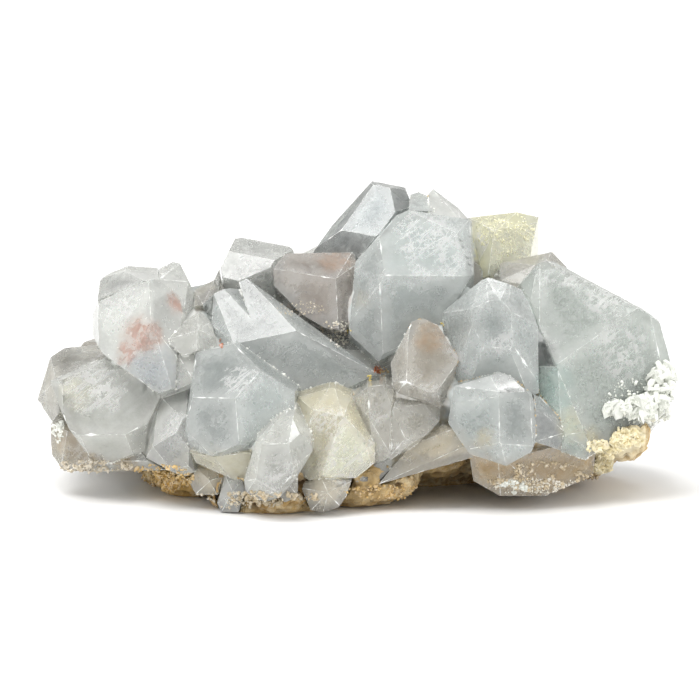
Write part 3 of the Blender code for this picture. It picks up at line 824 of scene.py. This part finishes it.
def rock_material(tree):
    """Ochre to brown stone, painted darker in its pits as shade, with stains where the photograph shows
    them.
    """
    paint = Shader("brown_rock")
    broad = paint.span(paint.noise(110, 5, 0.6), 0.35, 0.65)
    fine = paint.span(paint.noise(620, 8, 0.72), 0.42, 0.62)
    deep = paint.attribute("deep")
    colour = paint.mix(broad, ROCK_DARK, ROCK_LIGHT)
    colour = paint.mix(paint.math("MULTIPLY", fine, 0.7), colour, ROCK_GRAIN)
    for u, v, radius, stain, strength in ROCK_STAINS:
        spot = paint.spot(point_under(tree, u, v), radius * MM)
        colour = paint.mix(paint.math("MULTIPLY", spot, strength), colour, stain)
    # Painted shade, deeper in the pits.
    colour = paint.mix(paint.math("MULTIPLY", deep, 0.85), colour, ROCK_PIT_SHADE)
    paint.bump(paint.noise(1500, 8, 0.75), ROCK_RELIEF, 0.8)
    return paint.set(Base_Color=colour, Roughness=0.85)


def crust_material():
    """The tiny crystals, glossy and faintly clouded, each in its own tint."""
    paint = Shader("white_crust")
    fine = paint.span(paint.noise(900, 6, 0.7), 0.4, 0.7)
    clouded = paint.math("MULTIPLY", fine, 0.4)
    colour = paint.mix(clouded, paint.attribute("tint", "Color"), (0.95, 0.95, 0.92))
    return paint.set(
        Base_Color=colour,
        Roughness=0.15,
        IOR=1.6,
    )


def make_crystals():
    """The crystals, with the milky inside and the grains in their seams."""
    mesh = facets_of("crystals")
    tree = BVHTree.FromBMesh(mesh)
    kinds = tint_crystals(mesh, label_crystals(mesh), tree)
    make_clouds(mesh, tree, kinds)
    make_seams(mesh)
    places = edge_places(mesh)
    wear_edges(mesh)
    refine_facets(mesh, places)
    note_patches(mesh, tree)
    materials = [celestite_material(), wear_and_highlight_material()]
    return add_piece("celestite_crystals", mesh, materials, "crystals")


# The rock: the cells of its mesh, and how high its flat foot reaches.
ROCK_CELL = 0.75 * MM
ROCK_FLOOR = 0.5 * MM
FACING_DOWN = -0.7
# Its lumps, grains and pits: how fine they are, and how far they reach in millimetres.
LUMP_SCALE = 330
LUMP_FRACTAL = (0.8, 2.0, 4)
LUMP_HEIGHT = 0.55
GRAIN_SCALE = 1500
GRAIN_HEIGHT = 0.16
PIT_SCALE = 420
PIT_PLACE = Vector((5, 2, 8))
PIT_START = 0.18
PIT_DEPTH = 3.2
ROCK_INSET = 0.2
# Painted shade: how dark the rock gets for each millimetre of depth.
DEPTH_SHADE = 0.8


def carrier_tree():
    """What the tiny crystals sit on: the crystals, the stone and the crust as modelled."""
    whole = bmesh.new()
    for node in ("crystals", "matrix", "sugary_crust"):
        whole.from_mesh(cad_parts[node].data)
    tree = BVHTree.FromBMesh(whole)
    whole.free()
    return tree


def within(point, low, high):
    """The point, moved into that box where it lies outside."""
    return Vector([min(max(c, lo), hi) for c, lo, hi in zip(point, low, high)])


def make_rock():
    """The brown stone underneath, rough and pitted, with its foot kept flat."""
    helper = bpy.data.objects.new("helper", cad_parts["matrix"].data.copy())
    bpy.context.scene.collection.objects.link(helper)
    remesh = helper.modifiers.new("remesh", "REMESH")
    remesh.mode = "VOXEL"
    remesh.voxel_size = ROCK_CELL
    graph = bpy.context.evaluated_depsgraph_get()
    mesh = bmesh.new()
    mesh.from_mesh(helper.evaluated_get(graph).to_mesh())
    bpy.data.objects.remove(helper)
    mesh.normal_update()
    deep = mesh.verts.layers.float.new("deep")
    low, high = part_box("matrix")
    for vert in mesh.verts:
        lumps = noise.fractal(vert.co * LUMP_SCALE, *LUMP_FRACTAL)
        grains = noise.noise(vert.co * GRAIN_SCALE)
        pits = max(0, noise.noise(vert.co * PIT_SCALE + PIT_PLACE) - PIT_START)
        out = LUMP_HEIGHT * lumps + GRAIN_HEIGHT * grains - PIT_DEPTH * pits - ROCK_INSET
        if vert.co.z < ROCK_FLOOR:
            out = min(0, out) if vert.normal.z > FACING_DOWN else 0
        vert.co += vert.normal * out * MM
        vert.co = within(vert.co, low, high)
        vert[deep] = min(1, max(0, -out * DEPTH_SHADE))
    for face in mesh.faces:
        face.smooth = False
    return add_piece("rock_matrix", mesh, [rock_material(carrier_tree())], "matrix")


# Patches of tiny crystals, each an ellipse of the photograph: middle, half width and height, how many
# crystals, their smallest and largest size in millimetres, their tint and how much they lie down.
DRUSES = [
    (662, 385, 12, 20, 90, 1.2, 3.2, "white", 2.5),
    (642, 408, 20, 10, 90, 1.2, 3.4, "white", 2.5),
    (618, 408, 16, 6, 40, 1.0, 2.6, "white", 2.5),
    (655, 412, 14, 14, 140, 0.3, 1.2, "white", 1),
    (640, 400, 34, 24, 160, 0.2, 0.7, "white", 1),
    (58, 431, 6, 12, 60, 0.3, 0.9, "white", 1),
    (628, 438, 18, 9, 240, 0.3, 1.4, "honey", 2),
    (600, 447, 26, 6, 200, 0.3, 1.3, "honey", 2),
    (515, 487, 16, 7, 120, 0.25, 0.9, "white", 1),
    (160, 478, 34, 14, 420, 0.2, 0.7, "ochre", 1),
    (235, 500, 60, 8, 300, 0.2, 0.6, "sand", 1),
    (400, 492, 60, 7, 260, 0.2, 0.6, "ochre", 1),
    (95, 466, 38, 6, 260, 0.2, 0.9, "sand", 1.5),
    (540, 476, 58, 14, 420, 0.2, 0.8, "brown", 1),
    (535, 485, 46, 8, 420, 0.12, 0.5, "pearl", 1),
    (602, 458, 11, 14, 240, 0.4, 1.6, "honey", 2),
    (340, 334, 12, 14, 160, 0.15, 0.45, "pearl", 1),
    (505, 234, 30, 22, 420, 0.12, 0.42, "lemon", 1),
    (270, 498, 50, 7, 140, 0.25, 1.0, "brown", 1),
    (300, 309, 24, 8, 90, 0.15, 0.4, "sand", 1),
    (335, 328, 16, 7, 60, 0.15, 0.4, "sand", 1),
    (378, 370, 4, 4, 26, 0.25, 0.5, "rust", 1),
    (370, 378, 3, 3, 14, 0.2, 0.4, "gold", 1),
    (384, 372, 4, 5, 18, 0.25, 0.5, "ochre", 1),
    (222, 343, 2.5, 4, 34, 0.3, 0.6, "rust", 1),
    (442, 325, 2, 2, 8, 0.25, 0.5, "gold", 1),
    (350, 332, 5, 2, 18, 0.25, 0.5, "gold", 1),
]
DRUSE_TINTS = {
    "white": (0.84, 0.86, 0.80),
    "lemon": (0.95, 0.92, 0.66),
    "ochre": (0.72, 0.50, 0.20),
    "sand": (0.70, 0.62, 0.48),
    "honey": (0.88, 0.78, 0.50),
    "rust": (0.46, 0.13, 0.04),
    "gold": (0.90, 0.72, 0.20),
    "milk": (0.95, 0.95, 0.91),
    "pearl": (0.80, 0.76, 0.66),
    "brown": (0.58, 0.47, 0.30),
}
# Where the patches have gaps.
GAP_SCALE = 350
GAP_LEVEL = -0.25

# The tiny crystals: how far they lean, and their parts as shares of their size.
TINY_LEAN = 0.45
TINY_WIDTH = (0.35, 0.6)
TINY_DEPTH = (0.3, 0.5)
TINY_SHOULDER = (0.15, 0.5)
TINY_ROOT = 0.5
TINY_TIP = 0.8
TIP_SHIFT = 0.3
TAPER = 0.9
TINY_SHADE = (0.8, 1.08)
CORNERS = [(-1, -1), (1, -1), (1, 1), (-1, 1)]

# The grains in the seams: how closely they may stand, and their size in millimetres.
SEAM_STEP = 0.32 * MM
SEAM_SMALLEST = 0.14
SEAM_SPREAD = 0.34
# Where they stand densely, and where ochre takes the place of milky ones.
SEAM_PATCH_SCALE = 150
SEAM_TINT_SCALE = 70
SEAM_TINT_PLACE = Vector((9, 9, 9))
SEAM_OCHRE = 0.32


def tiny_crystal(mesh, tint, dice, place, normal, size, colour, lean=1.0):
    """A four-sided crystal with a pointed end, half sunk in what carries it."""
    axis = (normal + Vector([dice.gauss(0, TINY_LEAN * lean) for _ in range(3)])).normalized()
    spin = Matrix.Rotation(dice.uniform(0, math.pi), 3, "Z").to_quaternion()
    turn = axis.to_track_quat("Z", "Y") @ spin
    wide = size * dice.uniform(*TINY_WIDTH)
    deep = size * dice.uniform(*TINY_DEPTH) / lean
    shoulder = size * dice.uniform(*TINY_SHOULDER)
    tip_x = dice.uniform(-TIP_SHIFT, TIP_SHIFT) * wide
    tip_y = dice.uniform(-TIP_SHIFT, TIP_SHIFT) * deep
    tip = Vector((tip_x, tip_y, size * TINY_TIP))
    base = [Vector((x * wide, y * deep, -size * TINY_ROOT)) for x, y in CORNERS]
    neck = [Vector((x * wide * TAPER, y * deep * TAPER, shoulder)) for x, y in CORNERS]
    points = []
    for corner in base + neck + [tip]:
        point = within(place + turn @ corner, cad_low, cad_high)
        points.append(mesh.verts.new(point))
    shade = Vector(colour) * dice.uniform(*TINY_SHADE)
    faces = [mesh.faces.new(points[3::-1])]
    for k in range(4):
        after = (k + 1) % 4
        faces.append(mesh.faces.new((points[k], points[after], points[4 + after], points[4 + k])))
        faces.append(mesh.faces.new((points[4 + k], points[4 + after], points[8])))
    for face in faces:
        face[tint] = shade


def make_druses():
    """Sugary patches and the specks of other minerals, as tiny crystals."""
    dice = random.Random(DRUSE_SEED)
    mesh = bmesh.new()
    tint = mesh.faces.layers.float_vector.new("tint")
    tree = carrier_tree()
    for u, v, half_u, half_v, count, small, large, colour, lean in DRUSES:
        for _ in range(count):
            angle, reach = dice.uniform(0, 2 * math.pi), math.sqrt(dice.random())
            across_u = u + half_u * reach * math.cos(angle)
            across_v = v + half_v * reach * math.sin(angle)
            place, normal, _, _ = tree.ray_cast(EYE, sight(across_u, across_v))
            if place is None or noise.noise(place * GAP_SCALE) < GAP_LEVEL:
                continue
            size = (small + (large - small) * dice.random() ** 2) * MM
            tiny_crystal(mesh, tint, dice, place, normal, size, DRUSE_TINTS[colour], lean)
    return add_piece("sugary_druse", mesh, [crust_material()], "sugary_crust")


def make_seams(outer):
    """Fine grains in the seams where one crystal grows out of another."""
    dice = random.Random(SEAM_SEED)
    mesh = bmesh.new()
    tint = mesh.faces.layers.float_vector.new("tint")
    for edge in outer.edges:
        if edge.calc_face_angle_signed(0) > -SHARP:
            continue
        start, end = (vert.co for vert in edge.verts)
        normal = sum((face.normal for face in edge.link_faces), Vector()).normalized()
        for step in range(int(edge.calc_length() / SEAM_STEP)):
            place = start.lerp(end, (step + dice.random()) * SEAM_STEP / edge.calc_length())
            patch = noise.noise(place * SEAM_PATCH_SCALE) * 0.5 + 0.5
            if dice.random() > patch:
                continue
            size = (SEAM_SMALLEST + SEAM_SPREAD * dice.random() ** 2) * MM * (0.6 + patch)
            is_ochre = noise.noise(place * SEAM_TINT_SCALE + SEAM_TINT_PLACE) > SEAM_OCHRE
            colour = DRUSE_TINTS["ochre" if is_ochre else "milk"]
            tiny_crystal(mesh, tint, dice, place, normal, size, colour)
    return add_piece("seam_grains", mesh, [crust_material()])


make_camera()
make_studio()
make_crystals()
make_rock()
make_druses()
